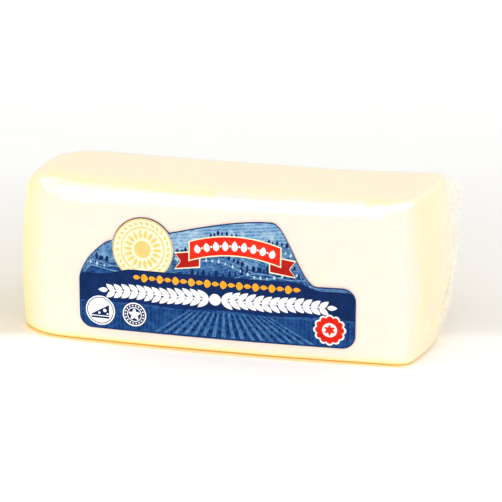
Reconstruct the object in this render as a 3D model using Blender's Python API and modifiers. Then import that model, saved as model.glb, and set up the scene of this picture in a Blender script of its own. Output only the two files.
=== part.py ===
"""A vacuum-packed loaf of low-moisture mozzarella, about 2.7 kg, lying on its long side.

The block was pressed in a mould: one end came from the closed end of the mould and has wide
round corners, the other end has tight ones. A clear shrink bag is drawn down onto the cheese,
so the loaf and its bag are one solid here. The bag's sealed tail stands off the tight end, and
a printed label, cut to the line of a hill, sits on the front.

Metres, +Z up. The origin is the middle of the underside; the label faces -Y; the tight end
and the bag's tail are at +X.
"""

from math import cos, hypot, pi, sin, sqrt

import bmesh
import bpy
from mathutils import Vector

MM = 0.001

# The block before its faces swell.
LENGTH = 249.5 * MM
DEPTH = 88.5 * MM
HEIGHT = 102.5 * MM
MOULD_END_CORNER = 32 * MM  # plan radius of the two upright edges at -X
OPEN_END_CORNER = 8.5 * MM  # the same at +X
TOP_EDGE = 11.5 * MM
OPEN_END_TOP_EDGE = 6.5 * MM
TOP_EDGE_TAPER = 60 * MM  # over this length the long top edges tighten towards the open end
BOTTOM_EDGE = 3.5 * MM

# How far each face swells, at its middle.
FRONT_SWELL_ALONG = 7 * MM
FRONT_SWELL_UP = 4 * MM
BACK_SWELL = 2 * MM
OPEN_END_SWELL_ACROSS = 4 * MM
OPEN_END_SWELL_UP = 5.5 * MM
MOULD_END_SWELL_ACROSS = 2 * MM
MOULD_END_SWELL_UP = 4 * MM
TOP_SAG = 2 * MM
OPEN_END_DROOP = 1.6 * MM  # how much lower the top ends there than at its middle
MOULD_END_LEAN = 2 * MM  # the mould end leans in by this much at the top, and out at the foot

# The loops that let the block round off and swell: close at its edges, wide in the middle.
FIRST_LOOP = 1.8 * MM
LOOP_GROWTH = 1.35
WIDEST_LOOP = 13 * MM

GAP = 0.3 * MM  # clearance between touching pieces

# The bag's tail, pressed flat and sealed, stands off the open end. It runs down beside the
# back edge and turns forward to the middle of the end at its foot.
TAIL_TOP_PLACE = 35 * MM
TAIL_FOOT_PLACE = -6 * MM
TAIL_TURN = 0.6  # the share of its height over which it turns
TAIL_FOOT = 4 * MM
TAIL_TOP = 98 * MM
TAIL_WIDTH = 5 * MM
TAIL_EAR = 6 * MM  # how much wider the tail is at its top corner
TAIL_SWEEP = 0.5  # how far its top leans back for each unit that it stands out
TAIL_RIPPLE = 0.9 * MM
TAIL_RIPPLE_LENGTH = 19 * MM
TAIL_THICKNESS = 0.4 * MM

# The label on the front, cut to the line of a hill with the sun behind its left shoulder.
LABEL_LEFT = -79 * MM
LABEL_RIGHT = 93 * MM
LABEL_BOTTOM = 9.5 * MM
LABEL_CORNER = 8 * MM
LABEL_SHOULDER = 44 * MM  # height of the label's left side
HILL_RISE = 21 * MM  # what the near slope adds, and then the long one
HILL_CLIMB = 20 * MM
HILL_FALL = 38 * MM  # the drop to the low ground at the right
SUN_PLACE = (-38 * MM, 62 * MM)
SUN_RADIUS = 20 * MM
LABEL_THICKNESS = 0.3 * MM


def clear_scene():
    for obj in list(bpy.data.objects):
        bpy.data.objects.remove(obj)


def material(name, colour, roughness):
    made = bpy.data.materials.new(name)
    made.use_nodes = True
    shader = made.node_tree.nodes["Principled BSDF"]
    shader.inputs["Base Color"].default_value = (*colour, 1.0)
    shader.inputs["Roughness"].default_value = roughness
    shader.inputs["Metallic"].default_value = 0.0
    return made


def add_object(name, mesh, collection, finish):
    obj = bpy.data.objects.new(name, mesh)
    collection.objects.link(obj)
    mesh.materials.append(finish)
    return obj


def ramp(value, start, end):
    """0 before start, 1 after end, and smooth between them."""
    t = max(0.0, min(1.0, (value - start) / (end - start)))
    return t * t * (3 - 2 * t)


def bow(t):
    """1 in the middle of a face and 0 at its two sides."""
    return max(0.0, 1 - t * t)


def loop_places(low, high):
    """Where loops go along one axis, from both edges to the middle."""
    places = []
    gap = FIRST_LOOP
    reach = gap
    while reach < (high - low) / 2:
        places += [low + reach, high - reach]
        gap = min(gap * LOOP_GROWTH, WIDEST_LOOP)
        reach += gap
    return places


def slice_across(bm, axis, places):
    normal = Vector([float(i == axis) for i in range(3)])
    for place in places:
        everything = bm.verts[:] + bm.edges[:] + bm.faces[:]
        bmesh.ops.bisect_plane(bm, geom=everything, plane_co=normal * place, plane_no=normal)


def rounded(a, b):
    """Draws a point of a unit square's corner in to a unit quarter circle."""
    if a <= 0 or b <= 0:
        return a, b
    share = max(a, b) / hypot(a, b)
    return a * share, b * share


def round_block(point):
    """Moves a point of the sharp block to where its edges are rounded."""
    side_x = -1 if point.x < 0 else 1
    side_y = -1 if point.y < 0 else 1
    corner = MOULD_END_CORNER if side_x < 0 else OPEN_END_CORNER
    centre = Vector((LENGTH / 2 - corner, DEPTH / 2 - corner))
    a = (abs(point.x) - centre.x) / corner
    b = (abs(point.y) - centre.y) / corner
    inset = corner * (1 - max(a, b))
    a, b = rounded(a, b)
    plan = Vector((centre.x + a * corner, centre.y + b * corner))
    if a > 0 and b > 0:
        outward = Vector((a, b)).normalized()
    else:
        outward = Vector((1, 0)) if a > b else Vector((0, 1))

    if point.z > HEIGHT / 2:
        taper_end = LENGTH / 2 - OPEN_END_CORNER
        tight = ramp(point.x, taper_end - TOP_EDGE_TAPER, taper_end)
        rim = TOP_EDGE + (OPEN_END_TOP_EDGE - TOP_EDGE) * tight
    else:
        rim = BOTTOM_EDGE
    half = HEIGHT / 2
    out = 1 - inset / rim
    up = (abs(point.z - half) - (half - rim)) / rim
    new_out, new_up = rounded(out, up)
    plan += outward * (new_out - out) * rim
    height = half - rim + new_up * rim
    z = half + (height if point.z > half else -height)
    return Vector((side_x * plan.x, side_y * plan.y, z))


def swell(point):
    """Moves a point of the rounded block to where the pressed cheese has it."""
    u = max(-1.0, min(1.0, point.x / (LENGTH / 2)))
    v = max(-1.0, min(1.0, point.y / (DEPTH / 2)))
    w = point.z / HEIGHT * 2 - 1
    moved = point.copy()
    if v < 0:
        moved.y -= v**4 * FRONT_SWELL_ALONG * bow(u) + v**6 * FRONT_SWELL_UP * bow(w)
    else:
        moved.y += v**4 * BACK_SWELL * bow(u) + v**6 * BACK_SWELL * bow(w)
    if u > 0:
        moved.x += u**4 * OPEN_END_SWELL_ACROSS * bow(v) + u**6 * OPEN_END_SWELL_UP * bow(w)
    else:
        moved.x -= u**4 * MOULD_END_SWELL_ACROSS * bow(v) + u**6 * MOULD_END_SWELL_UP * bow(w)
        moved.x += MOULD_END_LEAN * w * u * u
    upper = max(0.0, w) ** 2
    moved.z -= upper * (TOP_SAG * bow(u) + OPEN_END_DROOP * ramp(u, 0, 1))
    return moved


def build_loaf(collection, finish):
    """The bagged cheese: a box sliced into loops, then rounded and swollen."""
    bm = bmesh.new()
    bmesh.ops.create_cube(bm, size=1)
    for vert in bm.verts:
        vert.co = Vector((vert.co.x * LENGTH, vert.co.y * DEPTH, (vert.co.z + 0.5) * HEIGHT))
    slice_across(bm, 0, loop_places(-LENGTH / 2, LENGTH / 2))
    slice_across(bm, 1, loop_places(-DEPTH / 2, DEPTH / 2))
    slice_across(bm, 2, loop_places(0, HEIGHT))
    for vert in bm.verts:
        vert.co = swell(round_block(vert.co))
    bmesh.ops.triangulate(bm, faces=bm.faces)
    mesh = bpy.data.meshes.new("bagged_loaf")
    bm.to_mesh(mesh)
    bm.free()
    mesh.shade_smooth()
    return add_object("bagged_loaf", mesh, collection, finish)


def on_surface(x, y, z):
    """The point of the finished loaf that a point on the sharp block's faces moves to."""
    return swell(round_block(Vector((x, y, z))))


def sheet(name, columns, rows, place, thickness, collection, finish):
    """A thin closed sheet: place(s, t) says where each point of a unit grid goes."""
    bm = bmesh.new()
    bmesh.ops.create_grid(bm, x_segments=columns, y_segments=rows, size=0.5)
    for vert in bm.verts:
        vert.co = place(vert.co.x + 0.5, vert.co.y + 0.5)
    bmesh.ops.triangulate(bm, faces=bm.faces)
    mesh = bpy.data.meshes.new(name)
    bm.to_mesh(mesh)
    bm.free()
    mesh.shade_smooth()
    piece = add_object(name, mesh, collection, finish)
    wall = piece.modifiers.new("wall", "SOLIDIFY")
    wall.thickness = thickness
    wall.offset = 0
    return piece


def tail_point(s, t):
    """s runs from the loaf to the free edge, and t from the foot to the top."""
    z = TAIL_FOOT + (TAIL_TOP - TAIL_FOOT) * t
    turned = ramp(t, 0, TAIL_TURN)
    place = TAIL_FOOT_PLACE + (TAIL_TOP_PLACE - TAIL_FOOT_PLACE) * turned
    start = on_surface(LENGTH / 2, place, z)
    out = GAP + TAIL_THICKNESS + s * (TAIL_WIDTH + TAIL_EAR * t**6)
    back = out * TAIL_SWEEP * turned + TAIL_RIPPLE * s * sin(2 * pi * z / TAIL_RIPPLE_LENGTH)
    return Vector((start.x + out, start.y + back, z))


def end_rounding(x, radius):
    """How much a rounded corner takes off the label's height near its two sides."""
    from_side = min(x - LABEL_LEFT, LABEL_RIGHT - x)
    into = max(0.0, 1 - from_side / radius)
    return radius * (1 - sqrt(1 - into * into))


def label_top(x):
    hill = LABEL_SHOULDER + HILL_RISE * ramp(x, -88 * MM, -58 * MM)
    hill += HILL_CLIMB * ramp(x, -75 * MM, 42 * MM) - HILL_FALL * ramp(x, 42 * MM, 70 * MM)
    hill -= end_rounding(x, LABEL_CORNER)
    across = (x - SUN_PLACE[0]) / SUN_RADIUS
    if abs(across) < 1:
        hill = max(hill, SUN_PLACE[1] + SUN_RADIUS * sqrt(1 - across * across))
    return hill


def label_point(s, t):
    """s runs from left to right, closer at both sides, and t from the bottom to the top."""
    x = LABEL_LEFT + (LABEL_RIGHT - LABEL_LEFT) * (1 - cos(pi * s)) / 2
    low = LABEL_BOTTOM + end_rounding(x, LABEL_CORNER)
    z = low + (label_top(x) - low) * t
    spot = on_surface(x, -DEPTH / 2, z)
    spot.y -= GAP + LABEL_THICKNESS / 2
    return spot


def main():
    clear_scene()
    parts = bpy.data.collections.new("mozzarella_loaf")
    bpy.context.scene.collection.children.link(parts)
    build_loaf(parts, material("bagged_cheese", (0.94, 0.88, 0.70), 0.3))
    film = material("clear_film", (0.95, 0.95, 0.93), 0.1)
    sheet("bag_tail", 6, 28, tail_point, TAIL_THICKNESS, parts, film)
    print_face = material("printed_label", (0.03, 0.09, 0.22), 0.35)
    sheet("label", 52, 14, label_point, LABEL_THICKNESS, parts, print_face)


main()
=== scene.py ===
from math import atan2, cos, exp, hypot, pi, radians, sin, sqrt

import bpy
from mathutils import Matrix, Vector, noise


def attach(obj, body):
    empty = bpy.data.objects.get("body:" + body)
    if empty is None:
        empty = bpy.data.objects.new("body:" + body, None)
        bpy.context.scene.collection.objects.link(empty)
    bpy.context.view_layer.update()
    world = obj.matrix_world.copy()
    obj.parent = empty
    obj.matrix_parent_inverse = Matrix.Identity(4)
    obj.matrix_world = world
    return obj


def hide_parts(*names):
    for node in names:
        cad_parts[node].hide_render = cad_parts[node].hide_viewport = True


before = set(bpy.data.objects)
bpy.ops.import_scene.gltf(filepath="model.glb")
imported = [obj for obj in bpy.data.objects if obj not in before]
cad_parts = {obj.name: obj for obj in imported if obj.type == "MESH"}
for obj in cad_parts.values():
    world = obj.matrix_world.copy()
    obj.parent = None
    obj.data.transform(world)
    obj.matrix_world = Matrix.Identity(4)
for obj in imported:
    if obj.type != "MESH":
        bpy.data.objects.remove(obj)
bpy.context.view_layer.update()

MM = 0.001
ROOT = "root"

# The loaf's form, with the same values as the CAD part.
LENGTH = 249.5 * MM
DEPTH = 88.5 * MM
HEIGHT = 102.5 * MM
MOULD_END_CORNER = 32 * MM
OPEN_END_CORNER = 8.5 * MM
TOP_EDGE = 11.5 * MM
OPEN_END_TOP_EDGE = 6.5 * MM
TOP_EDGE_TAPER = 60 * MM
BOTTOM_EDGE = 3.5 * MM
FRONT_SWELL_ALONG = 7 * MM
FRONT_SWELL_UP = 4 * MM
BACK_SWELL = 2 * MM
OPEN_END_SWELL_ACROSS = 4 * MM
OPEN_END_SWELL_UP = 5.5 * MM
MOULD_END_SWELL_ACROSS = 2 * MM
MOULD_END_SWELL_UP = 4 * MM
TOP_SAG = 2 * MM
OPEN_END_DROOP = 1.6 * MM
MOULD_END_LEAN = 2 * MM
GAP = 0.3 * MM

TAIL_TOP_PLACE = 35 * MM
TAIL_FOOT_PLACE = -6 * MM
TAIL_TURN = 0.6
TAIL_FOOT = 4 * MM
TAIL_TOP = 98 * MM
TAIL_WIDTH = 5 * MM
TAIL_EAR = 6 * MM
TAIL_SWEEP = 0.5
TAIL_RIPPLE = 0.9 * MM
TAIL_RIPPLE_LENGTH = 19 * MM
TAIL_THICKNESS = 0.4 * MM

LABEL_LEFT = -79 * MM
LABEL_RIGHT = 93 * MM
LABEL_BOTTOM = 9.5 * MM
LABEL_CORNER = 8 * MM
LABEL_SHOULDER = 44 * MM
HILL_RISE = 21 * MM
HILL_CLIMB = 20 * MM
HILL_FALL = 38 * MM
HILL_RISE_SPAN = (-88 * MM, -58 * MM)
HILL_CLIMB_SPAN = (-75 * MM, 42 * MM)
HILL_FALL_SPAN = (42 * MM, 70 * MM)
SUN_PLACE = (-38 * MM, 62 * MM)
SUN_RADIUS = 20 * MM
LABEL_THICKNESS = 0.3 * MM

# Edge radii of the dressed loaf alone, a few millimetres off the CAD part's, and where they change.
REAR_OPEN_CORNER = 5.5 * MM
REAR_OPEN_TOP_EDGE = 4.5 * MM
ACROSS_OPEN_TOP_EDGE = 3.5 * MM
FRONT_TOP_EDGE = 11.2 * MM
FRONT_OPEN_TOP_EDGE = 7.6 * MM
FRONT_TOP_EDGE_TAPER = 22 * MM
FRONT_MOULD_TOP_EDGE = 15.5 * MM
FRONT_MOULD_TAPER = (20 * MM, 95 * MM)

# The loaf's grids: how finely they are cut, how even their lines are, where 1 is quite even, and how near a
# face of the box counts as on it.
CHEESE_CUTS = 44
FILM_CUTS = 66
EDGE_SPACING = 0.45
ON_FACE = 0.01 * MM

# What counts as a sharp edge, in degrees, and as one point where a seam is closed.
SHARP_ANGLE = 40
SEAM_REACH = 0.002 * MM

# Relief: how far in the cheese lies, its low waves, the film's fine pleats, the ridge at the tail, and the
# film's puckers, each as x, z, length, width, angle in degrees and height, in millimetres.
CHEESE_INSET = 0.35 * MM
CHEESE_WAVES = 0.12 * MM
PLEATS_BEHIND_TAIL = 0.95 * MM
PLEATS_BEFORE_TAIL = 0.6 * MM
PLEATS_ALONG_SIDES = 0.16 * MM
PLEATED_LENGTH = 70 * MM
TAIL_RIDGE = 1.6 * MM
TAIL_RIDGE_WIDTH = 2.6 * MM
PUCKERS = (
    (111.0, 87.4, 9.5, 4.2, -20, 0.7),
    (120.0, 87.0, 1.8, 3.6, 0, 0.4),
    (118.8, 80.0, 8.5, 1.2, 97, 0.32),
    (121.4, 62.0, 14, 1.0, 94, 0.2),
)

# The tail's film, thinner than its solid. Its cuts are shares of its width, at shares of its height.
TAIL_FILM = 0.25 * MM
TAIL_TOP_CUT = 0.5
TAIL_TOP_CUT_START = 0.92
TAIL_WAIST = 0.3
TAIL_WAIST_PLACE = 0.45
TAIL_WAIST_REACH = 0.4
TAIL_RAGGED = 0.12
TAIL_CRUMPLE = 0.7 * MM

# Ink lies in layers, a higher one on a lower one, and the label a little off the loaf's face.
INK_STEP = 0.03 * MM
LABEL_STAND = 0.12 * MM

# Places on the label, in millimetres from the loaf's middle and up from the table.
PRINT_MARGIN = 0.8
PRINT_LEFT = LABEL_LEFT / MM + PRINT_MARGIN
PRINT_RIGHT = LABEL_RIGHT / MM - PRINT_MARGIN
SUN_X, SUN_Z = SUN_PLACE[0] / MM, SUN_PLACE[1] / MM
BEHIND_SUN = (SUN_X - 20.5, SUN_X + 20.5)
RIBBON_X = 20
RIBBON_HALF_LENGTH = 28
RIBBON_HALF_WIDTH = 5.6
ARCH_TOP = 68.5
ARCH_FALL = 5.5
ARCH_REACH = 30
BEAD_STEP = 5.8
GARLAND_X, GARLAND_Z = 8, 34.6
ROW_STEP = 6.1
ROWS_MEET_X = 14
ROWS_FOOT, ROWS_HEAD = 10.8, 26.5
WEDGE_BADGE = (-65.5, 21.2)
STAR_BADGE = (-43.5, 20.6)
WEDGE_LEFT = -71.4
WEDGE_LENGTH = 11.6
ROSETTE = (78, 20.8)

# The studio: a lamp is where it shines from, azimuth and elevation, how broad it looks, all in degrees, its
# strength and its tint. Azimuth 0 is the loaf's front, and 90 its open end.
WHITE_LIGHT = (1.0, 1.0, 1.0)
COOL_LIGHT = (0.98, 0.99, 1.0)
LIGHTING_LAMPS = (
    ("key_softbox", 4, 52, 60, 0.88, WHITE_LIGHT),
    ("low_fill", 5, 8, 50, 0.42, (1.0, 0.98, 0.96)),
    ("open_end_fill", 85, 22, 60, 0.56, (1.0, 0.985, 0.95)),
    ("mould_end_fill", -78, 20, 60, 0.52, (1.0, 0.95, 0.95)),
    ("back_fill", 178, 14, 50, 0.7, (1.0, 0.99, 0.97)),
    ("table_glow", -8, -48, 60, 1.19, (1.0, 0.97, 0.9)),
)
MIRRORED_LAMPS = (
    ("mirrored_strip_low", -18, 17, 30, 0.85, COOL_LIGHT),
    ("mirrored_strip_middle", -18, 38, 32, 1.1, COOL_LIGHT),
    ("mirrored_strip_high", -18, 72, 44, 1.8, COOL_LIGHT),
    ("mirrored_table_edge", 8, 1, 20, 0.35, COOL_LIGHT),
    ("mirrored_corner", -46, 48, 40, 1.5, COOL_LIGHT),
    ("mirrored_mould_side", -84, 47, 50, 2.2, COOL_LIGHT),
    ("mirrored_mould_rear", -107, 31, 16, 0.22, COOL_LIGHT),
    ("mirrored_back_window", 164, 20, 34, 0.07, WHITE_LIGHT),
    ("mirrored_end_window", 92, 43, 40, 1.85, WHITE_LIGHT),
    ("mirrored_open_side", 36, 45, 54, 2.6, COOL_LIGHT),
)
LAMP_DISTANCE = 2
ROOM_COLOUR = (1.0, 0.985, 0.96, 1)
ROOM_STRENGTH = 0.8
FLOOR_SIZE = 16
FLOOR_CUTS = 24

# The paper's painted shadow tones from front to back, at places from 0 to 1 between two distances in metres.
PAPER_FRONT, PAPER_BACK = -0.1, 0.9
PAPER_SHADOW_TONES = (
    (0.0, "#f9f8f7"), (0.078, "#f8f7f5"), (0.1, "#d8d6cc"), (0.16, "#d7d5cb"),
    (0.26, "#dddad3"), (0.42, "#e1e0de"), (0.65, "#e8e9e9"), (1.0, "#ebecee"),
)

# The camera, with its focal length and the picture's width in pixels.
CAMERA_PLACE = (0.4535, -1.4948, 0.4304)
CAMERA_FORWARD = (-0.2742, 0.9323, -0.2358)
CAMERA_RIGHT = (0.9587, 0.2842, 0.0088)
SENSOR_WIDTH = 36
FOCAL_PIXELS = 2600
PICTURE_PIXELS = 502

# Sockets of a Mix node that mixes colours, by number. A Wave node at scale 1 has 20 radians to the metre.
MIX_SHARE, MIX_BASE, MIX_TINT, MIX_RESULT = 0, 6, 7, 2
WAVE_RADIANS = 20


# ---- form

def ramp(value, start, end):
    """0 before start, 1 after end, and smooth between them."""
    t = max(0.0, min(1.0, (value - start) / (end - start)))
    return t * t * (3 - 2 * t)


def bow(t):
    """1 in the middle of a face and 0 at its two sides."""
    return max(0.0, 1 - t * t)


def rounded(a, b):
    """Draws a point of a unit square's corner in to a unit quarter circle."""
    if a <= 0 or b <= 0:
        return a, b
    share = max(a, b) / hypot(a, b)
    return a * share, b * share


def top_radius(point, outward):
    """The top edge's radius beside a point of the sharp block. outward points out of its plan there."""
    taper_end = LENGTH / 2 - OPEN_END_CORNER
    tight = ramp(point.x, taper_end - TOP_EDGE_TAPER, taper_end)
    front_tight = ramp(point.x, taper_end - FRONT_TOP_EDGE_TAPER, taper_end)
    front = FRONT_TOP_EDGE + (FRONT_MOULD_TOP_EDGE - FRONT_TOP_EDGE) * ramp(-point.x, *FRONT_MOULD_TAPER)
    front += (FRONT_OPEN_TOP_EDGE - FRONT_TOP_EDGE) * front_tight
    least = OPEN_END_TOP_EDGE + (REAR_OPEN_TOP_EDGE - OPEN_END_TOP_EDGE) * ramp(point.y, 0, DEPTH / 3)
    radius = TOP_EDGE + (least - TOP_EDGE) * tight
    radius += (front - radius) * ramp(-point.y, -DEPTH / 8, DEPTH / 4)
    if point.x >= 0 and outward.x > 0:
        radius += (ACROSS_OPEN_TOP_EDGE - radius) * outward.x**2
    return radius


def round_block(point):
    """Moves a point of the sharp block to where its edges are rounded."""
    side_x = -1 if point.x < 0 else 1
    side_y = -1 if point.y < 0 else 1
    corner = MOULD_END_CORNER if side_x < 0 else OPEN_END_CORNER if side_y < 0 else REAR_OPEN_CORNER
    centre = Vector((LENGTH / 2 - corner, DEPTH / 2 - corner))
    a = (abs(point.x) - centre.x) / corner
    b = (abs(point.y) - centre.y) / corner
    inset = corner * (1 - max(a, b))
    a, b = rounded(a, b)
    plan = Vector((centre.x + a * corner, centre.y + b * corner))
    if a > 0 and b > 0:
        outward = Vector((a, b)).normalized()
    else:
        outward = Vector((1, 0)) if a > b else Vector((0, 1))

    half = HEIGHT / 2
    rim = top_radius(point, outward) if point.z > half else BOTTOM_EDGE
    out = 1 - inset / rim
    up = (abs(point.z - half) - (half - rim)) / rim
    new_out, new_up = rounded(out, up)
    plan += outward * (new_out - out) * rim
    height = half - rim + new_up * rim
    z = half + (height if point.z > half else -height)
    return Vector((side_x * plan.x, side_y * plan.y, z))


def swell(point):
    """Moves a point of the rounded block to where the pressed cheese has it."""
    u = max(-1.0, min(1.0, point.x / (LENGTH / 2)))
    v = max(-1.0, min(1.0, point.y / (DEPTH / 2)))
    w = point.z / HEIGHT * 2 - 1
    moved = point.copy()
    if v < 0:
        moved.y -= v**4 * FRONT_SWELL_ALONG * bow(u) + v**6 * FRONT_SWELL_UP * bow(w)
    else:
        moved.y += v**4 * BACK_SWELL * bow(u) + v**6 * BACK_SWELL * bow(w)
    if u > 0:
        moved.x += u**4 * OPEN_END_SWELL_ACROSS * bow(v) + u**6 * OPEN_END_SWELL_UP * bow(w)
    else:
        moved.x -= u**4 * MOULD_END_SWELL_ACROSS * bow(v) + u**6 * MOULD_END_SWELL_UP * bow(w)
        moved.x += MOULD_END_LEAN * w * u * u
    upper = max(0.0, w) ** 2
    moved.z -= upper * (TOP_SAG * bow(u) + OPEN_END_DROOP * ramp(u, 0, 1))
    return moved


def on_surface(x, y, z):
    """The point of the finished loaf that a point on the sharp block's faces moves to."""
    return swell(round_block(Vector((x, y, z))))


def tail_line(z):
    """How far across the open end the tail stands at a height."""
    turned = ramp((z - TAIL_FOOT) / (TAIL_TOP - TAIL_FOOT), 0, TAIL_TURN)
    return TAIL_FOOT_PLACE + (TAIL_TOP_PLACE - TAIL_FOOT_PLACE) * turned


def closer_at_edges(value, half):
    """Moves an even grid's lines nearer each other towards both edges."""
    share = max(-1.0, min(1.0, value / half))
    return half * (EDGE_SPACING * share + (1 - EDGE_SPACING) * sin(share * pi / 2))


# ---- making pieces

def deselect():
    bpy.ops.object.select_all(action="DESELECT")


def select_only(piece):
    deselect()
    bpy.context.view_layer.objects.active = piece
    piece.select_set(True)


def name_piece(name):
    piece = bpy.context.object
    piece.name = name
    piece.data.name = name
    return piece


def apply_modifiers(piece):
    select_only(piece)
    for modifier in list(piece.modifiers):
        bpy.ops.object.modifier_apply(modifier=modifier.name)


def add_block(name, cuts):
    """A box of the loaf's size with its origin under it, cut in three and then into a fine grid."""
    deselect()
    bpy.ops.mesh.primitive_cube_add(size=1)
    piece = name_piece(name)
    bpy.ops.object.mode_set(mode="EDIT")
    bpy.ops.mesh.select_all(action="SELECT")
    bpy.ops.transform.resize(value=(LENGTH, DEPTH, HEIGHT))
    bpy.ops.transform.translate(value=(0, 0, HEIGHT / 2))
    for place in (-LENGTH / 6, LENGTH / 6):
        bpy.ops.mesh.select_all(action="SELECT")
        bpy.ops.mesh.bisect(plane_co=(place, 0, 0), plane_no=(1, 0, 0))
    bpy.ops.mesh.select_all(action="SELECT")
    bpy.ops.mesh.subdivide(number_cuts=cuts)
    bpy.ops.object.mode_set(mode="OBJECT")
    return piece


def shape_block(piece, lift):
    """Rounds and swells the box, then moves each point out along its normal by lift(flat, spot): flat is its
    place on the box and spot its place on the loaf. Returns the places on the box."""
    flat = []
    for vert in piece.data.vertices:
        spot = Vector((
            closer_at_edges(vert.co.x, LENGTH / 2),
            closer_at_edges(vert.co.y, DEPTH / 2),
            HEIGHT / 2 + closer_at_edges(vert.co.z - HEIGHT / 2, HEIGHT / 2),
        ))
        flat.append(spot)
        vert.co = swell(round_block(spot))
    piece.data.update()
    normals = [vert.normal.copy() for vert in piece.data.vertices]
    for vert, spot, normal in zip(piece.data.vertices, flat, normals):
        vert.co += normal * lift(spot, vert.co)
        vert.co.z = max(0.0, vert.co.z)
    piece.data.update()
    piece.data.shade_smooth()
    return flat


def write_share(piece, name, values):
    """Keeps one number from 0 to 1 for each point, for the material to read."""
    attribute = piece.data.attributes.new(name, "FLOAT", "POINT")
    attribute.data.foreach_set("value", values)


def add_sheet(name, columns, rows, place):
    """A grid whose point (s, t), each from 0 to 1, goes to place(s, t)."""
    deselect()
    bpy.ops.mesh.primitive_grid_add(x_subdivisions=columns, y_subdivisions=rows, size=1)
    piece = name_piece(name)
    for vert in piece.data.vertices:
        vert.co = place(vert.co.x + 0.5, vert.co.y + 0.5)
    piece.data.update()
    piece.data.shade_smooth()
    return piece


def thicken(piece, thickness, offset):
    """Gives a sheet its thickness: offset 0 is half to each side, and -1 all behind its faces."""
    wall = piece.modifiers.new("wall", "SOLIDIFY")
    wall.thickness = thickness
    wall.offset = offset
    apply_modifiers(piece)
    piece.data.set_sharp_from_angle(angle=radians(SHARP_ANGLE))


def close_seam(piece):
    """Merges the two edges of a grid that was bent round to meet itself."""
    select_only(piece)
    bpy.ops.object.mode_set(mode="EDIT")
    bpy.ops.mesh.select_all(action="SELECT")
    bpy.ops.mesh.remove_doubles(threshold=SEAM_REACH)
    bpy.ops.object.mode_set(mode="OBJECT")


def join(name, pieces):
    deselect()
    for piece in pieces:
        piece.select_set(True)
    bpy.context.view_layer.objects.active = pieces[0]
    if len(pieces) > 1:
        bpy.ops.object.join()
    return name_piece(name)


def finish_piece(piece, material, node):
    piece.data.materials.clear()
    piece.data.materials.append(material)
    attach(piece, ROOT)
    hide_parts(node)


# ---- materials

def colour(code):
    """An sRGB hex colour as the linear RGBA that nodes take."""
    values = [int(code[i:i + 2], 16) / 255 for i in (1, 3, 5)]
    return tuple(c / 12.92 if c <= 0.04045 else ((c + 0.055) / 1.055) ** 2.4 for c in values) + (1.0,)


def add_node(tree, kind, sockets=None, **settings):
    """Adds a node with its settings. Each socket takes a value, or the output that is linked to it."""
    made = tree.nodes.new(kind)
    for name, value in settings.items():
        setattr(made, name, value)
    for name, value in (sockets or {}).items():
        if isinstance(value, bpy.types.NodeSocket):
            tree.links.new(value, made.inputs[name])
        else:
            made.inputs[name].default_value = value
    return made


def new_material(name):
    """An empty material, its nodes, a point's own place on its piece, and the socket for the shader."""
    made = bpy.data.materials.new(name)
    made.use_nodes = True
    tree = made.node_tree
    tree.nodes.clear()
    place = add_node(tree, "ShaderNodeTexCoord").outputs["Object"]
    surface = add_node(tree, "ShaderNodeOutputMaterial").inputs["Surface"]
    return made, tree, place, surface


def share_where(tree, *ranges, share=None):
    """How much of a tint or haze there is. Each range (value, start, end, most) goes from 0 at its start to
    most at its end, and they are multiplied with each other and with the share given."""
    for value, start, end, most in ranges:
        sockets = {"Value": value, "From Min": start, "From Max": end, "To Max": most}
        part = add_node(tree, "ShaderNodeMapRange", sockets).outputs[0]
        if share is not None:
            part = add_node(tree, "ShaderNodeMath", {0: share, 1: part}, operation="MULTIPLY").outputs[0]
        share = part
    return share


def tinted(tree, base, *tints):
    """Lays tints over a base colour, each given as its share and its hex colour."""
    for share, code in tints:
        sockets = {MIX_SHARE: share, MIX_BASE: base, MIX_TINT: colour(code)}
        base = add_node(tree, "ShaderNodeMix", sockets, data_type="RGBA").outputs[MIX_RESULT]
    return base


def mozzarella():
    """Low-moisture mozzarella, stretched curd set in a smooth mould: a dense ivory body that light soaks
    into, faintly marbled. Painted light makes its front paler; painted shading makes it yellower along its
    edges and foot; and a painted yellow glow, for light through the thin cheese, lies along its foot under
    the film."""
    made, tree, place, surface = new_material("moulded_mozzarella")
    marbling = add_node(
        tree, "ShaderNodeTexNoise",
        {"Vector": place, "Scale": 1 / (38 * MM), "Detail": 3.0, "Roughness": 0.55},
    ).outputs["Fac"]
    curd = add_node(
        tree, "ShaderNodeTexNoise",
        {"Vector": place, "Scale": 1 / (5 * MM), "Detail": 2.0, "Roughness": 0.6},
    ).outputs["Fac"]
    painted_shading, foot_glow, front = (
        add_node(tree, "ShaderNodeAttribute", attribute_name=name).outputs["Fac"]
        for name in ("painted_shading", "foot_glow", "front")
    )
    body = tinted(
        tree, colour("#fde3bb"),
        # Painted light: the front tinted paler than the top and ends.
        (front, "#fde2d9"),
        (share_where(tree, (marbling, 0.35, 0.65, 0.16)), "#f9e4b8"),
        (share_where(tree, (curd, 0.4, 0.6, 0.08)), "#fff6e6"),
        # Painted shading: yellower on the ends and along the foot, where less light falls.
        (painted_shading, "#fddf8a"),
        # Painted yellow glow along the foot, standing for light through the thin cheese there.
        (foot_glow, "#ffd245"),
    )
    bump = add_node(tree, "ShaderNodeBump", {"Height": curd, "Strength": 0.12, "Distance": 0.3 * MM})
    shader = add_node(
        tree, "ShaderNodeBsdfPrincipled",
        {
            "Base Color": body, "Normal": bump.outputs[0], "Roughness": 0.5, "Specular IOR Level": 0.0,
            "Subsurface Weight": 0.7, "Subsurface Radius": (1.0, 0.75, 0.4), "Subsurface Scale": 3 * MM,
        },
    )
    tree.links.new(shader.outputs[0], surface)
    return made


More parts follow.
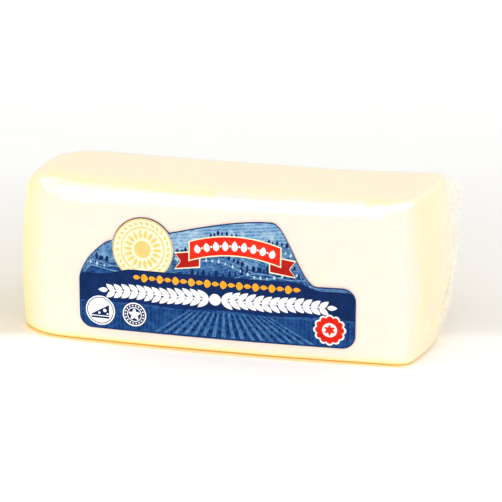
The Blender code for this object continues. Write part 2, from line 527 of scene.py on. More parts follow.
def film_wall(tree, ior, normal, gloss, clear, milk, haze):
    """A thin clear wall with a share of milky haze. It mirrors the same share of light whichever side the
    light comes from."""
    inside = add_node(tree, "ShaderNodeNewGeometry").outputs["Backfacing"]
    same = add_node(tree, "ShaderNodeMapRange", {"Value": inside, "To Min": ior, "To Max": 1 / ior})
    fresnel = add_node(tree, "ShaderNodeFresnel", {"IOR": same.outputs[0], "Normal": normal})
    film = add_node(
        tree, "ShaderNodeMixShader", {0: fresnel.outputs[0], 1: clear.outputs[0], 2: gloss.outputs[0]},
    )
    return add_node(tree, "ShaderNodeMixShader", {0: haze, 1: film.outputs[0], 2: milk.outputs[0]})


def shrink_film():
    """Shrunk barrier film, blown clear and drawn down with hot water: it shows what is under it, adds a wet
    gloss, and turns a little milky with fine crinkles where it stands off the cheese."""
    made, tree, place, surface = new_material("shrink_film")
    crinkle = add_node(
        tree, "ShaderNodeTexNoise",
        {"Vector": place, "Scale": 1 / (3.5 * MM), "Detail": 3.0, "Roughness": 0.5, "Distortion": 0.6},
    ).outputs["Fac"]
    slack = add_node(
        tree, "ShaderNodeTexNoise", {"Vector": place, "Scale": 1 / (26 * MM), "Detail": 1.0},
    ).outputs["Fac"]
    loose = add_node(tree, "ShaderNodeAttribute", attribute_name="loose").outputs["Fac"]
    lift = add_node(tree, "ShaderNodeMath", {0: crinkle, 1: loose}, operation="MULTIPLY").outputs[0]
    height = add_node(tree, "ShaderNodeMath", {0: slack, 1: 0.2, 2: lift}, operation="MULTIPLY_ADD")
    normal = add_node(
        tree, "ShaderNodeBump", {"Height": height.outputs[0], "Strength": 0.35, "Distance": 0.8 * MM},
    ).outputs[0]
    gloss = add_node(
        tree, "ShaderNodeBsdfAnisotropic", {"Color": (1, 1, 1, 1), "Roughness": 0.13, "Normal": normal},
    )
    clear = add_node(tree, "ShaderNodeBsdfTransparent", {"Color": (1, 1, 1, 1)})
    milk = add_node(tree, "ShaderNodeBsdfDiffuse", {"Color": colour("#fffdf8"), "Normal": normal})
    haze = share_where(tree, (loose, 0.0, 1.0, 0.22))
    shader = film_wall(tree, 1.5, normal, gloss, clear, milk, haze)
    tree.links.new(shader.outputs[0], surface)
    return made


def sealed_film():
    """Two walls of the film heat-sealed into a stiff fin: still clear, but hazier and crinkled, so it glints
    in specks."""
    made, tree, place, surface = new_material("heat_sealed_film")
    crinkle = add_node(
        tree, "ShaderNodeTexVoronoi", {"Vector": place, "Scale": 1 / (3 * MM)}, feature="SMOOTH_F1",
    ).outputs["Distance"]
    fine = add_node(
        tree, "ShaderNodeTexNoise", {"Vector": place, "Scale": 1 / (2 * MM), "Detail": 2.0},
    ).outputs["Fac"]
    height = add_node(tree, "ShaderNodeMath", {0: fine, 1: 0.5, 2: crinkle}, operation="MULTIPLY_ADD")
    normal = add_node(
        tree, "ShaderNodeBump", {"Height": height.outputs[0], "Strength": 0.8, "Distance": 0.8 * MM},
    ).outputs[0]
    gloss = add_node(
        tree, "ShaderNodeBsdfAnisotropic", {"Color": (0.8, 0.8, 0.8, 1), "Roughness": 0.28, "Normal": normal},
    )
    clear = add_node(tree, "ShaderNodeBsdfTransparent", {"Color": colour("#fffefa")})
    milk = add_node(tree, "ShaderNodeBsdfTranslucent", {"Color": colour("#ffffff"), "Normal": normal})
    haze = add_node(
        tree, "ShaderNodeMapRange",
        {"Value": fine, "From Min": 0.35, "From Max": 0.65, "To Min": 0.08, "To Max": 0.2},
    ).outputs[0]
    shader = film_wall(tree, 1.25, normal, gloss, clear, milk, haze)
    tree.links.new(shader.outputs[0], surface)
    return made


def ink(name, main, second, patch, most):
    """Process ink under varnish on label paper: even colour that thins in patches of the second tone."""
    made, tree, place, surface = new_material(name)
    tone = add_node(
        tree, "ShaderNodeTexNoise", {"Vector": place, "Scale": 1 / patch, "Detail": 4.0, "Roughness": 0.65},
    ).outputs["Fac"]
    grain = add_node(
        tree, "ShaderNodeTexNoise", {"Vector": place, "Scale": 1 / (0.9 * MM), "Detail": 1.0},
    ).outputs["Fac"]
    face = tinted(tree, colour(main), (share_where(tree, (tone, 0.36, 0.64, most)), second))
    bump = add_node(tree, "ShaderNodeBump", {"Height": grain, "Strength": 0.08, "Distance": 0.05 * MM})
    shader = add_node(
        tree, "ShaderNodeBsdfPrincipled",
        {"Base Color": face, "Normal": bump.outputs[0], "Roughness": 0.42, "Specular IOR Level": 0.07},
    )
    tree.links.new(shader.outputs[0], surface)
    return made


def engraved_ink(name, dark, mid, pale, across, angle, tone_size, most):
    """Halftone ink in three tones: hatched lines, broken by the paper, that read as a printed engraving. A
    real screen is finer than the picture can show, so its lines are drawn some millimetres across."""
    made, tree, place, surface = new_material(name)
    turned = add_node(tree, "ShaderNodeMapping", {"Vector": place, "Rotation": (0, radians(angle), 0)})
    lines = add_node(
        tree, "ShaderNodeTexWave",
        {
            "Vector": turned.outputs[0], "Scale": 1 / across / WAVE_RADIANS * 2 * pi, "Distortion": 4.0,
            "Detail": 3.0, "Detail Scale": 2.0, "Detail Roughness": 0.7,
        },
        bands_direction="Z",
    ).outputs["Fac"]
    tone = add_node(
        tree, "ShaderNodeTexNoise",
        {"Vector": place, "Scale": 1 / tone_size, "Detail": 6.0, "Roughness": 0.75},
    ).outputs["Fac"]
    face = tinted(
        tree, colour(dark),
        (share_where(tree, (lines, 0.25, 0.75, 1.0)), mid),
        (share_where(tree, (tone, 0.44, 0.62, most)), pale),
    )
    shader = add_node(
        tree, "ShaderNodeBsdfPrincipled", {"Base Color": face, "Roughness": 0.42, "Specular IOR Level": 0.07},
    )
    tree.links.new(shader.outputs[0], surface)
    return made


def inside_front(tree, place, axes):
    """How far inside the loaf's front and rounded corner a point of the floor lies, below 0 outside."""
    along = add_node(tree, "ShaderNodeMath", {0: axes["X"], 1: LENGTH / 2}, operation="DIVIDE").outputs[0]
    squared = add_node(tree, "ShaderNodeMath", {0: along, 1: along}, operation="MULTIPLY").outputs[0]
    to_corner = (LENGTH / 2 - MOULD_END_CORNER, DEPTH / 2 - MOULD_END_CORNER, 0)
    past = add_node(tree, "ShaderNodeVectorMath", {0: place, 1: to_corner}, operation="ADD").outputs[0]
    past = add_node(tree, "ShaderNodeVectorMath", {0: past, 1: (0, 0, 0)}, operation="MINIMUM").outputs[0]
    past = add_node(tree, "ShaderNodeVectorMath", {0: past}, operation="LENGTH").outputs["Value"]
    reach = add_node(
        tree, "ShaderNodeMath",
        {0: squared, 1: -FRONT_SWELL_ALONG, 2: MOULD_END_CORNER + FRONT_SWELL_ALONG},
        operation="MULTIPLY_ADD",
    ).outputs[0]
    return add_node(tree, "ShaderNodeMath", {0: reach, 1: past}, operation="SUBTRACT").outputs[0]


def studio_paper():
    """A roll of matt white background paper with the faintest fibre. Painted shadow lies in its colour:
    nearly white before the loaf, a soft beige-grey painted shadow behind it, paler far back, towards the
    right and at both sides, with a painted lighter, cooler patch beside the open end. Round the loaf's foot
    it holds a painted yellow glow for the light that comes through the cheese, and a painted contact shadow
    where they touch."""
    made, tree, place, surface = new_material("matt_background_paper")
    fibre = add_node(
        tree, "ShaderNodeTexNoise", {"Vector": place, "Scale": 1 / (60 * MM), "Detail": 2.0},
    ).outputs["Fac"]
    axes = add_node(tree, "ShaderNodeSeparateXYZ", {0: place}).outputs

    # The painted shadow's tones from front to back run at a slant to the loaf.
    back = add_node(
        tree, "ShaderNodeMath", {0: axes["X"], 1: -0.33, 2: axes["Y"]}, operation="MULTIPLY_ADD",
    ).outputs[0]
    tone = add_node(
        tree, "ShaderNodeValToRGB", {0: share_where(tree, (back, PAPER_FRONT, PAPER_BACK, 1.0))},
    )
    stops = tone.color_ramp.elements
    for position, _ in PAPER_SHADOW_TONES[2:]:
        stops.new(position)
    for stop, (position, code) in zip(stops, PAPER_SHADOW_TONES):
        stop.position = position
        stop.color = colour(code)

    # Slanted distances to the left and right, where the painted shadow fades, and the band along the loaf's
    # front and mould end, for the painted glow and contact shadow.
    to_left, to_right = (
        add_node(
            tree, "ShaderNodeMath", {0: axes["Y"], 1: slant, 2: axes["X"]}, operation="MULTIPLY_ADD",
        ).outputs[0]
        for slant in (0.4, 0.2)
    )
    inside = inside_front(tree, place, axes)
    # A painted yellow glow on the paper round the loaf's foot, for the light that comes through the cheese.
    painted_glow = share_where(
        tree,
        (inside, -6 * MM, -1 * MM, 1.0),
        (axes["Y"], 48 * MM, 30 * MM, 1.0),
        (axes["X"], 128 * MM, 120 * MM, 1.0),
        (axes["X"], -132 * MM, -122 * MM, 1.0),
    )
    # A painted contact shadow inside that glow, where the loaf's foot meets the paper.
    painted_contact_shadow = share_where(
        tree, (inside, -4 * MM, -1.5 * MM, 1.0), (inside, 1.5 * MM, 0.0, 0.55), share=painted_glow,
    )
    face = tinted(
        tree, tone.outputs[0],
        # Painted shadow made paler towards the right and at both sides; a painted lighter, cooler patch by
        # the open end.
        (share_where(tree, (axes["X"], 0.04, 0.14, 0.5)), "#e9e9ea"),
        (share_where(tree, (axes["X"], 0.115, 0.135, 0.5), (axes["Y"], 0.07, 0.02, 1.0)), "#f0f3fa"),
        (share_where(tree, (to_left, -0.165, -0.36, 1.0)), "#efefed"),
        (share_where(tree, (to_right, 0.165, 0.36, 1.0)), "#efefed"),
        # Laid on: the painted glow, then the painted contact shadow.
        (share_where(tree, (painted_glow, 0.0, 1.0, 0.85)), "#fbe8ad"),
        (painted_contact_shadow, "#cbc3a5"),
        (share_where(tree, (fibre, 0.3, 0.7, 0.05)), "#d9d7d3"),
    )
    shader = add_node(
        tree, "ShaderNodeBsdfPrincipled", {"Base Color": face, "Roughness": 0.9, "Specular IOR Level": 0.0},
    )
    tree.links.new(shader.outputs[0], surface)
    return made


# ---- cheese and film

def streaks(along, across, seed, spacing):
    """A fold pattern, about -1 to 1, whose crests are spacing apart across and run long the other way."""
    first = noise.noise(Vector((across / spacing, along / (9 * spacing), seed)))
    second = noise.noise(Vector((across / spacing * 2.3, along / (6 * spacing), seed + 7.0)))
    crest = 1 - 2 * abs(first) * 1.6
    return 0.75 * crest + 0.35 * second


def pucker(flat):
    """How high the puckers stand where the film is drawn round the open end's upper front corner."""
    total = 0.0
    for x, z, long, wide, angle, height in PUCKERS:
        c, d = cos(radians(angle)), sin(radians(angle))
        along = ((flat.x / MM - x) * c + (flat.z / MM - z) * d) / long
        across = (-(flat.x / MM - x) * d + (flat.z / MM - z) * c) / wide
        total += height * MM * exp(-along * along - across * across)
    return total


def end_lift(flat):
    """The film's relief on the open end: pleats that run to the tail, and the ridge that it stands on."""
    from_tail = flat.y - tail_line(flat.z)
    inside = min(DEPTH / 2 - abs(flat.y), HEIGHT - flat.z, flat.z)
    tight_edge = ramp(inside, 3 * MM, 12 * MM)
    seed, height = (1.0, PLEATS_BEHIND_TAIL) if from_tail > 0 else (2.0, PLEATS_BEFORE_TAIL)
    pleats = streaks(abs(from_tail), flat.z - 0.25 * abs(from_tail), seed, 4.6 * MM)
    lift = height * pleats * tight_edge * exp(-abs(from_tail) / (38 * MM))
    lift += TAIL_RIDGE * exp(-(from_tail / TAIL_RIDGE_WIDTH) ** 2) * ramp(inside, 1 * MM, 7 * MM)
    return lift


def side_lift(flat, from_end):
    """The film's relief on the top, front and back near the open end: shallow pleats that soon die out."""
    on_top = flat.z > HEIGHT - ON_FACE
    around = flat.y if on_top else flat.z
    inside = min(HEIGHT - flat.z, flat.z) if not on_top else DEPTH / 2 - abs(flat.y)
    tight_edge = ramp(inside, 4 * MM, 16 * MM) * ramp(from_end, 3 * MM, 12 * MM)
    seed = 3.0 if on_top else (4.0 if flat.y < 0 else 5.0)
    pleats = streaks(from_end, around + 0.12 * from_end, seed, 7 * MM)
    lift = PLEATS_ALONG_SIDES * pleats * tight_edge * exp(-from_end / (22 * MM))
    if not on_top and flat.y < 0:
        lift += pucker(flat)
    return lift


def film_lift(flat, _spot):
    """How far the drawn-down film stands off the loaf's nominal face."""
    from_end = LENGTH / 2 - flat.x
    if flat.x > LENGTH / 2 - ON_FACE:
        return end_lift(flat)
    return side_lift(flat, from_end) if from_end < PLEATED_LENGTH else 0.0


def cheese_lift(_flat, spot):
    """The cheese lies a film's thickness in, with the low waves that pressing and handling leave."""
    waves = noise.noise(Vector((spot.x / (45 * MM), spot.y / (34 * MM), spot.z / (30 * MM))))
    return -CHEESE_INSET + CHEESE_WAVES * waves


def painted_shading_share(vert):
    """Where painted shading makes the cheese yellower: on its mould end, more before than behind, and along
    its foot, and a little on the open end and towards the mould end."""
    spot, normal = vert.co, vert.normal
    mould_end = 0.85 * ramp(-normal.x, 0.5, 1.0) * (1 - 0.5 * ramp(normal.y, -0.3, 0.2))
    open_end = 0.2 * ramp(normal.x, 0.55, 0.8)
    lengthwise = 0.1 * ramp(-spot.x, 60 * MM, 110 * MM)
    foot = 0.45 * (1 - ramp(spot.z, 1 * MM, 6 * MM))
    return min(1.0, mould_end + open_end + lengthwise + foot)


def foot_glow_share(vert):
    """Where a painted yellow glow, standing for light through the thin cheese, lies along the loaf's foot."""
    return 0.8 * (1 - ramp(vert.co.z, 0.3 * MM, 2.2 * MM))


def painted_light_front_share(vert):
    """Painted light: the front paler than the top and ends. It reaches less far round the mould end's corner.
    """
    start, end = (0.5, 1.0) if vert.normal.x < 0 else (0.15, 0.65)
    return ramp(-vert.normal.y, start, end)


def build_cheese():
    cheese = add_block("cheese", CHEESE_CUTS)
    shape_block(cheese, cheese_lift)
    for name, share in (("painted_shading", painted_shading_share), ("foot_glow", foot_glow_share), ("front", painted_light_front_share)):
        write_share(cheese, name, [share(vert) for vert in cheese.data.vertices])
    finish_piece(cheese, mozzarella(), "bagged_loaf")


def loose_share(flat):
    """Where the film has lost touch with the cheese: most beside the tail."""
    from_end = LENGTH / 2 - flat.x
    if from_end < ON_FACE:
        return 0.35 + 0.65 * exp(-abs(flat.y - tail_line(flat.z)) / (9 * MM))
    return 0.3 * exp(-from_end / (9 * MM))


def build_film():
    film = add_block("film", FILM_CUTS)
    flat = shape_block(film, film_lift)
    write_share(film, "loose", [loose_share(place) for place in flat])
    finish_piece(film, shrink_film(), "bagged_loaf")


def tail_place(s, t):
    """s runs from the loaf to the free edge, and t from the foot to the top."""
    z = TAIL_FOOT + (TAIL_TOP - TAIL_FOOT) * t
    turned = ramp(t, 0, TAIL_TURN)
    start = on_surface(LENGTH / 2, tail_line(z), z)
    top_cut = 1 - TAIL_TOP_CUT * ramp(t, TAIL_TOP_CUT_START, 1.0)
    waist = 1 - TAIL_WAIST * bow((t - TAIL_WAIST_PLACE) / TAIL_WAIST_REACH)
    width = (TAIL_WIDTH + TAIL_EAR * t**6) * top_cut * waist
    ragged = 1 - TAIL_RAGGED * abs(noise.noise(Vector((z / (7 * MM), 4.0, 0.0))))
    out = GAP + TAIL_THICKNESS + s * width * ragged
    back = out * TAIL_SWEEP * turned + TAIL_RIPPLE * s * sin(2 * pi * z / TAIL_RIPPLE_LENGTH)
    crumple = TAIL_CRUMPLE * s * noise.noise(Vector((z / (5 * MM), out / (4 * MM), 2.0)))
    return Vector((start.x + out, start.y + back + crumple, z + 0.5 * crumple * s))


def build_tail():
    tail = add_sheet("tail", 16, 140, tail_place)
    thicken(tail, TAIL_FILM, 0)
    finish_piece(tail, sealed_film(), "bag_tail")


# ---- label

def end_rounding(x, radius):
    """How much a rounded corner takes off the label's height near its two sides."""
    from_side = min(x - LABEL_LEFT, LABEL_RIGHT - x)
    into = max(0.0, min(1.0, 1 - from_side / radius))
    return radius * (1 - sqrt(1 - into * into))


def label_top(x):
    hill = LABEL_SHOULDER + HILL_RISE * ramp(x, *HILL_RISE_SPAN)
    hill += HILL_CLIMB * ramp(x, *HILL_CLIMB_SPAN) - HILL_FALL * ramp(x, *HILL_FALL_SPAN)
    hill -= end_rounding(x, LABEL_CORNER)
    across = (x - SUN_PLACE[0]) / SUN_RADIUS
    if abs(across) < 1:
        hill = max(hill, SUN_PLACE[1] + SUN_RADIUS * sqrt(1 - across * across))
    return hill


def label_low(x):
    return LABEL_BOTTOM + end_rounding(x, LABEL_CORNER)


def on_label(x, z, proud):
    """The point of the label's face at x, z, standing proud of it."""
    spot = on_surface(x, -DEPTH / 2, z)
    spot.y -= LABEL_STAND + LABEL_THICKNESS + proud
    return spot


def label_place(s, t):
    x = LABEL_LEFT + (LABEL_RIGHT - LABEL_LEFT) * (1 - cos(pi * s)) / 2
    low = label_low(x)
    return on_label(x, low + (label_top(x) - low) * t, 0)


def face_front(piece):
    """Turns a shape's faces to the front, whichever way its grid was drawn."""
    if sum(polygon.normal.y * polygon.area for polygon in piece.data.polygons) > 0:
        piece.data.flip_normals()


def print_shape(layer, columns, rows, place, closed=False):
    """One flat shape of ink: place(s, t) gives its x and z in millimetres."""
    def spot(s, t):
        x, z = place(s, t)
        return on_label(x * MM, z * MM, layer * INK_STEP)
    piece = add_sheet("shape", columns, rows, spot)
    if closed:
        close_seam(piece)
    face_front(piece)
    thicken(piece, layer * INK_STEP + INK_STEP, -1)
    return piece


def printed(name, shapes, material):
    """Joins the shapes of one ink into a piece of the label."""
    finish_piece(join(name, shapes), material, "label")


def angles(count):
    """Even steps round a circle, in radians."""
    return [2 * pi * i / count for i in range(count)]


def disc(layer, x, z, radius, columns):
    def place(s, t):
        a, b = 2 * s - 1, 2 * t - 1
        return x + radius * a * sqrt(1 - b * b / 2), z + radius * b * sqrt(1 - a * a / 2)
    return print_shape(layer, columns, columns, place)


def ring(layer, x, z, inner, outer):
    def place(s, t):
        reach = inner + (outer - inner) * t
        return x + reach * cos(2 * pi * s), z + reach * sin(2 * pi * s)
    return print_shape(layer, 64, 2, place, closed=True)


def leaf(layer, x, z, length, width, angle, columns):
    """A pointed leaf from x, z outwards at an angle in degrees."""
    c, d = cos(radians(angle)), sin(radians(angle))
    def place(s, t):
        wide = width * sin(pi * s ** 0.8) ** 0.8 * (t - 0.5) + 0.02 * (t - 0.5)
        return x + c * s * length - d * wide, z + d * s * length + c * wide
    return print_shape(layer, columns, 2, place)


def band(layer, left, right, low, high, columns, rows):
    """The field between two lines low(x) and high(x), in millimetres."""
    def place(s, t):
        x = left + (right - left) * s
        bottom, top = low(x), high(x)
        return x, bottom + (max(top, bottom + 0.05) - bottom) * t
    return print_shape(layer, columns, rows, place)


def far_ridge(x):
    return 67 + 5 * sin(x / 15.0 + 0.4) + 2.5 * sin(x / 6.1) + 0.07 * x


def middle_ridge(x):
    return 58.5 + 4 * sin(x / 19.0 + 2.2) + 1.8 * sin(x / 7.3)


def near_ridge(x):
    return 50.5 + 3 * sin(x / 17.0 - 0.9) + 1.2 * sin(x / 5.7 + 2)


def band_top(x):
    return 44.5 + 4.5 * (ramp(x, -66, -44) - ramp(x, 56, 74))


def inner_top(x):
    """The top of what is printed, just inside the label's edge."""
    return label_top(x * MM) / MM - PRINT_MARGIN


def under_top(x, line, below=0.0):
    """A line cut to stay inside the label."""
    return min(line(x), inner_top(x) - below)


def print_field(name, layer, low, high, rows, *halftone):
    """A field across the whole label, from low(x) to high(x), in its own halftone."""
    printed(name, [band(layer, PRINT_LEFT, PRINT_RIGHT, low, high, 120, rows)], engraved_ink(*halftone))


def print_ridges():
    """A sky and three ridges of fields."""
    print_field(
        "print_sky", 1, lambda x: min(52.0, inner_top(x) - 1), inner_top, 10,
        "sky_blue_halftone", "#4d7daa", "#7ba5c6", "#b7d0e0", 2.0 * MM, 6, 8 * MM, 0.8,
    )
    print_field(
        "print_far_ridge", 2, lambda x: min(44.0, inner_top(x) - 1.5), lambda x: under_top(x, far_ridge), 8,
        "far_field_halftone", "#1c4a80", "#3f73a6", "#7fa8c9", 1.7 * MM, -18, 4 * MM, 0.85,
    )
    print_field(
        "print_middle_ridge", 3,
        lambda x: min(42.0, inner_top(x) - 2), lambda x: under_top(x, middle_ridge, 0.4), 6,
        "middle_field_halftone", "#0d3a75", "#24588f", "#5c8db8", 1.9 * MM, 12, 4 * MM, 0.7,
    )
    print_field(
        "print_near_ridge", 4, lambda x: 26.0, lambda x: under_top(x, near_ridge, 0.8), 8,
        "near_field_halftone", "#07306a", "#154482", "#386ca2", 2.2 * MM, 24, 5 * MM, 0.6,
    )


def terrace(end_gap, line, drop, height):
    """A thin strip of field that follows a ridge, a set drop below its crest."""
    return band(
        5, PRINT_LEFT + end_gap, PRINT_RIGHT - end_gap,
        lambda x: under_top(x, line) - drop - height, lambda x: under_top(x, line) - drop, 60, 2,
    )


def crest_row(line, start, step, count, sizes, wide):
    """Small upright leaves in a row along a ridge, but not behind the sun or past the label's edge."""
    row = []
    for i in range(count):
        x = start + i * step + 0.5 * sin(5.3 * i)
        size = sizes[i % len(sizes)]
        foot = line(x)
        if foot + size > inner_top(x) - 0.4 or BEHIND_SUN[0] < x < BEHIND_SUN[1]:
            continue
        row.append(leaf(6, x, foot, size, wide * size, 90, 6))
    return row


def print_trees(inks):
    """Pale terraces, and rows of dark and pale trees on the crests."""
    printed("print_terraces", [terrace(*strip) for strip in (
        (4, far_ridge, 1.2, 0.5), (4, far_ridge, 3.6, 0.6),
        (2, middle_ridge, 1.0, 0.5), (2, middle_ridge, 3.4, 0.7),
        (1, near_ridge, 1.4, 0.6), (1, near_ridge, 4.4, 0.8),
    )], engraved_ink("slate_blue_halftone", "#35628f", "#5f8db6", "#8fb3cd", 1.5 * MM, 84, 3 * MM, 0.7))
    dark_trees = (
        crest_row(far_ridge, -76, 2.6, 62, (2.6, 3.6, 2.2, 3.0), 0.5)
        + crest_row(lambda x: middle_ridge(x) - 0.5, -77, 3.1, 54, (4.0, 2.8, 3.4), 0.5)
        + crest_row(lambda x: near_ridge(x) - 1, -77, 3.9, 43, (4.6, 3.2, 5.4, 3.6), 0.42)
    )
    printed("print_dark_trees", dark_trees, inks["navy"])
    pale_trees = (
        crest_row(lambda x: far_ridge(x) - 4, -75, 3.4, 47, (2.4, 1.8), 0.55)
        + crest_row(lambda x: middle_ridge(x) - 4.6, -75.5, 4.3, 38, (2.6, 2.0), 0.5)
    )
    printed("print_pale_trees", pale_trees, inks["misty_blue"])


def print_sun(inks):
    """Gold rim, cream face, a ring of leaves and a centre of rays."""
    rays = [
        leaf(9, SUN_X + 6.6 * cos(a), SUN_Z + 6.6 * sin(a), 6.0, 2.3, a * 180 / pi, 6) for a in angles(18)
    ]
    leaves = [
        leaf(9, SUN_X + 15.6 * cos(a), SUN_Z + 15.6 * sin(a), 3.0, 1.6, a * 180 / pi + 62, 5)
        for a in angles(28)
    ]
    printed("print_sun_rim", [disc(7, SUN_X, SUN_Z, 19.4, 26)], inks["gold"])
    printed("print_sun_face", [disc(8, SUN_X, SUN_Z, 18.3, 26)], inks["cream"])
    centre = [disc(9, SUN_X, SUN_Z, 5.4, 12), ring(9, SUN_X, SUN_Z, 13.2, 14.2)]
    printed("print_sun_rays", rays + leaves + centre, inks["gold"])


def arch(x):
    """The ribbon's middle line."""
    return ARCH_TOP - ARCH_FALL * ((x - RIBBON_X) / ARCH_REACH) ** 2


def ribbon(layer, grow):
    return band(
        layer, RIBBON_X - RIBBON_HALF_LENGTH - grow, RIBBON_X + RIBBON_HALF_LENGTH + grow,
        lambda x: arch(x) - RIBBON_HALF_WIDTH - grow, lambda x: arch(x) + RIBBON_HALF_WIDTH + grow, 40, 4,
    )


def ribbon_fold(layer, side, grow):
    """The ribbon's end on one side, which passes behind it and has a notch cut in it."""
    def place(s, t):
        x = RIBBON_X + side * (22 + (15 + grow) * s) - side * grow * (1 - s)
        notch = (3.6 + 0.2 * grow) * (1 - abs(2 * t - 1)) * ramp(s, 0.75, 1)
        middle = 59.0 - 2.2 * s
        return x - side * notch, middle + (2 * t - 1) * (4.6 + grow)
    return print_shape(layer, 16, 6, place)


def print_ribbon(inks):
    """A red ribbon with a cream trim, and a row of long white beads with a dot between each two."""
    trim = [ribbon(12, 0.7), ribbon_fold(10, -1, 0.7), ribbon_fold(10, 1, 0.7)]
    printed("print_ribbon_trim", trim, inks["cream"])
    printed("print_ribbon_folds", [ribbon_fold(11, -1, 0), ribbon_fold(11, 1, 0)], inks["dark_red"])
    printed("print_ribbon", [ribbon(13, 0)], inks["red"])
    beads = []
    for i in range(-4, 5):
        x = RIBBON_X + i * BEAD_STEP
        z = arch(x)
        slope = atan2(-2 * ARCH_FALL * (x - RIBBON_X) / ARCH_REACH**2, 1) * 180 / pi
        size = 6.4 - 0.25 * abs(i)
        bead_x, bead_z = x + size / 2 * sin(radians(slope)), z - size / 2 * cos(radians(slope))
        beads.append(leaf(14, bead_x, bead_z, size, 3.9, 90 + slope, 8))
        if i < 4:
            beads.append(disc(14, x + BEAD_STEP / 2, arch(x + BEAD_STEP / 2), 0.6, 6))
    printed("print_ribbon_beads", beads, inks["white"])


def print_garland(inks):
    """Two sprays of leaves on one stem, which meet at a knot."""
    shapes = []
    for side in (-1, 1):
        for i in range(13):
            x = GARLAND_X + side * (4 + i * 5.0)
            z = GARLAND_Z + 0.4 * sin(i * 0.9)
            size = 8.8 - 0.16 * i
            for turn in (38, -38):
                shapes.append(leaf(11, x, z, size, 3.5, turn if side > 0 else 180 - turn, 8))
        shapes.append(leaf(11, GARLAND_X + side * 68.5, GARLAND_Z, 6, 3.0, 0 if side > 0 else 180, 8))
    shapes.append(band(11, GARLAND_X - 67, GARLAND_X + 67, lambda x: 34.2, lambda x: 35.0, 60, 2))
    shapes.append(disc(12, GARLAND_X, GARLAND_Z, 3.6, 10))
    printed("print_garland", shapes, inks["white"])


def plough_row(foot):
    """A row that narrows towards its head, which is half the way in to where the rows would meet."""
    head = ROWS_MEET_X + (foot - ROWS_MEET_X) * 0.5
    def place(s, t):
        z = ROWS_FOOT + (ROWS_HEAD - ROWS_FOOT) * s
        x = foot + (head - foot) * s
        return x + (t - 0.5) * (2.8 - 1.6 * s), z
    return print_shape(5, 8, 2, place)


def print_low_field(inks):
    """A field of ploughed rows below the garland, set with small bushes."""
    print_field(
        "print_low_field", 3, lambda x: label_low(x * MM) / MM + PRINT_MARGIN, lambda x: 28.0, 8,
        "low_field_halftone", "#05295f", "#0f3d79", "#2a5f97", 2.6 * MM, 88, 5 * MM, 0.6,
    )
    printed(
        "print_rows", [plough_row(-30 + i * ROW_STEP) for i in range(17)],
        engraved_ink("furrow_halftone", "#1b4a84", "#33659c", "#5c8cb8", 1.5 * MM, 80, 3 * MM, 0.7),
    )
    bushes = []
    for z in (14.2, 18.4, 22.0, 25.0):
        drawn_in = 1 - 0.5 * (z - ROWS_FOOT) / (ROWS_HEAD - ROWS_FOOT)
        for i in range(16):
            x = ROWS_MEET_X + (-27 + i * ROW_STEP - ROWS_MEET_X) * drawn_in
            bushes.append(disc(6, x, z, 1.15 - 0.04 * (z - 12), 6))
    printed("print_bushes", bushes, inks["navy"])


def badge_ring(layer, x, z, outer):
    """Two rings with a row of dots between them."""
    rings = [ring(layer, x, z, outer - 0.8, outer), ring(layer, x, z, outer - 3.4, outer - 2.9)]
    return rings + [
        disc(layer, x + (outer - 1.8) * cos(a), z + (outer - 1.8) * sin(a), 0.5, 6) for a in angles(18)
    ]


def print_badges(inks):
    """Two round badges at the left: a cheese wedge on white, and a white star on navy."""
    shapes = [disc(11, *WEDGE_BADGE, 9.4, 18)] + badge_ring(11, *STAR_BADGE, 7.6)
    shapes += [leaf(11, *STAR_BADGE, 4.0, 2.3, 72 * i + 18, 6) for i in range(5)]
    printed("print_white_badge", shapes, inks["white"])
    printed("print_badge_ground", [disc(10.5, *STAR_BADGE, 8.0, 16)], inks["navy"])

    def wedge(s, t):
        return WEDGE_LEFT + WEDGE_LENGTH * s, 18.0 + 6.6 * s * t + 0.5 * t

    def wedge_rind(s, t):
        return WEDGE_LEFT + WEDGE_LENGTH * s, 16.2 + 1.2 * t

    cheese = [print_shape(12, 14, 4, wedge), print_shape(12, 8, 2, wedge_rind)]
    printed("print_wedge", cheese + [ring(12, *WEDGE_BADGE, 8.1, 8.6)], inks["navy"])
    holes = ((-62.6, 21.3, 1.1), (-66.2, 19.6, 0.75), (-60.9, 19.2, 0.6))
    printed("print_wedge_holes", [disc(13, x, z, radius, 8) for x, z, radius in holes], inks["white"])


def rosette(layer, reach, petal):
    """A disc with twelve round petals along its edge."""
    x, z = ROSETTE
    return [disc(layer, x, z, reach, 16)] + [
        disc(layer, x + (reach - 0.6) * cos(a), z + (reach - 0.6) * sin(a), petal, 8) for a in angles(12)
    ]


def print_rosette(inks):
    """A red rosette at the right, with a white middle and a red star of six leaves."""
    printed("print_rosette_trim", rosette(11, 8.1, 2.3), inks["white"])
    printed("print_rosette", rosette(12, 7.4, 1.9), inks["red"])
    printed("print_rosette_middle", [disc(13, *ROSETTE, 4.4, 12)], inks["white"])
    star = [leaf(14, *ROSETTE, 3.6, 1.9, 60 * i + 30, 6) for i in range(6)]
    printed("print_rosette_star", star, inks["red"])


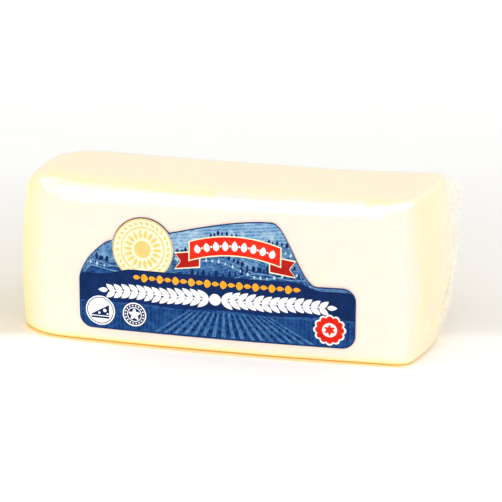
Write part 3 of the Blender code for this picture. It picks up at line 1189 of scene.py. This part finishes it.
def build_label():
    """The label's stock, and on it the inks, motif by motif."""
    stock = add_sheet("label_stock", 140, 44, label_place)
    face_front(stock)
    thicken(stock, LABEL_THICKNESS, -1)
    stock_ink = ink("navy_ink_on_label_paper", "#04245a", "#0a356f", 14 * MM, 0.7)
    finish_piece(stock, stock_ink, "label")
    inks = {name: ink(name + "_ink", *tones) for name, *tones in (
        ("gold", "#e4c06c", "#f2d690", 4 * MM, 0.7),
        ("cream", "#f5ebc6", "#fbf5dc", 6 * MM, 0.6),
        ("red", "#dc1c0c", "#ec3a1a", 9 * MM, 0.5),
        ("dark_red", "#a3120b", "#bf2010", 6 * MM, 0.5),
        ("orange", "#f29c1c", "#fcb840", 5 * MM, 0.5),
        ("white", "#f4f5f6", "#fafafa", 8 * MM, 0.5),
        ("navy", "#03204f", "#082e66", 8 * MM, 0.6),
        ("misty_blue", "#a4c2d8", "#c9dce8", 3 * MM, 0.8),
    )}
    print_ridges()
    print_trees(inks)
    print_sun(inks)
    # The band of navy that the lozenges and the garland lie on.
    ground = band(
        10, PRINT_LEFT, PRINT_RIGHT,
        lambda x: 27.5 + 0.6 * sin(x / 9), lambda x: under_top(x, band_top), 100, 4,
    )
    printed("print_navy_band", [ground], inks["navy"])
    print_ribbon(inks)
    # Broad and slim lozenges in turn.
    lozenges = [
        leaf(11, -44 + i * 5.0, 44.2 if i % 2 else 44.4, 4.7, 5.0 if i % 2 else 2.8, 0, 8) for i in range(21)
    ]
    printed("print_lozenges", lozenges, inks["orange"])
    print_garland(inks)
    print_low_field(inks)
    print_badges(inks)
    print_rosette(inks)


# ---- stage

def build_stage():
    deselect()
    bpy.ops.mesh.primitive_grid_add(x_subdivisions=FLOOR_CUTS, y_subdivisions=FLOOR_CUTS, size=FLOOR_SIZE)
    floor = name_piece("floor")
    floor.data.materials.append(studio_paper())
    floor.visible_shadow = False


def add_sun(name, azimuth, elevation, spread_angle, strength, tint, gloss):
    """A lamp so far and wide that it acts as a large softbox in one direction. It either lights the surfaces
    or, with gloss, is only mirrored in them."""
    az, el = radians(azimuth), radians(elevation)
    towards = Vector((sin(az) * cos(el), -cos(az) * cos(el), sin(el)))
    deselect()
    bpy.ops.object.light_add(type="SUN", location=towards * LAMP_DISTANCE)
    lamp = bpy.context.object
    lamp.name = name
    lamp.rotation_euler = towards.to_track_quat("Z", "Y").to_euler()
    lamp.data.energy = strength
    lamp.data.angle = radians(spread_angle)
    lamp.data.color = tint
    lamp.visible_glossy = gloss
    lamp.visible_diffuse = not gloss


def light_studio():
    for lamp in LIGHTING_LAMPS:
        add_sun(*lamp, gloss=False)
    for lamp in MIRRORED_LAMPS:
        add_sun(*lamp, gloss=True)
    world = bpy.data.worlds.new("pale_studio")
    world.use_nodes = True
    background = world.node_tree.nodes["Background"].inputs
    background["Color"].default_value = ROOM_COLOUR
    background["Strength"].default_value = ROOM_STRENGTH
    bpy.context.scene.world = world
    bpy.context.scene.view_settings.view_transform = "Standard"


def aim_camera():
    deselect()
    bpy.ops.object.camera_add()
    camera = bpy.context.object
    camera.name = "photo_camera"
    forward = Vector(CAMERA_FORWARD).normalized()
    right = Vector(CAMERA_RIGHT)
    up = right.cross(forward).normalized()
    right = forward.cross(up).normalized()
    turned = Matrix((right, up, -forward)).transposed().to_4x4()
    camera.matrix_world = Matrix.Translation(CAMERA_PLACE) @ turned
    camera.data.sensor_width = SENSOR_WIDTH
    camera.data.lens = SENSOR_WIDTH * FOCAL_PIXELS / PICTURE_PIXELS
    camera.data.clip_start = 0.05
    camera.data.clip_end = 60
    bpy.context.scene.camera = camera


build_cheese()
build_film()
build_tail()
build_label()
build_stage()
light_studio()
aim_camera()
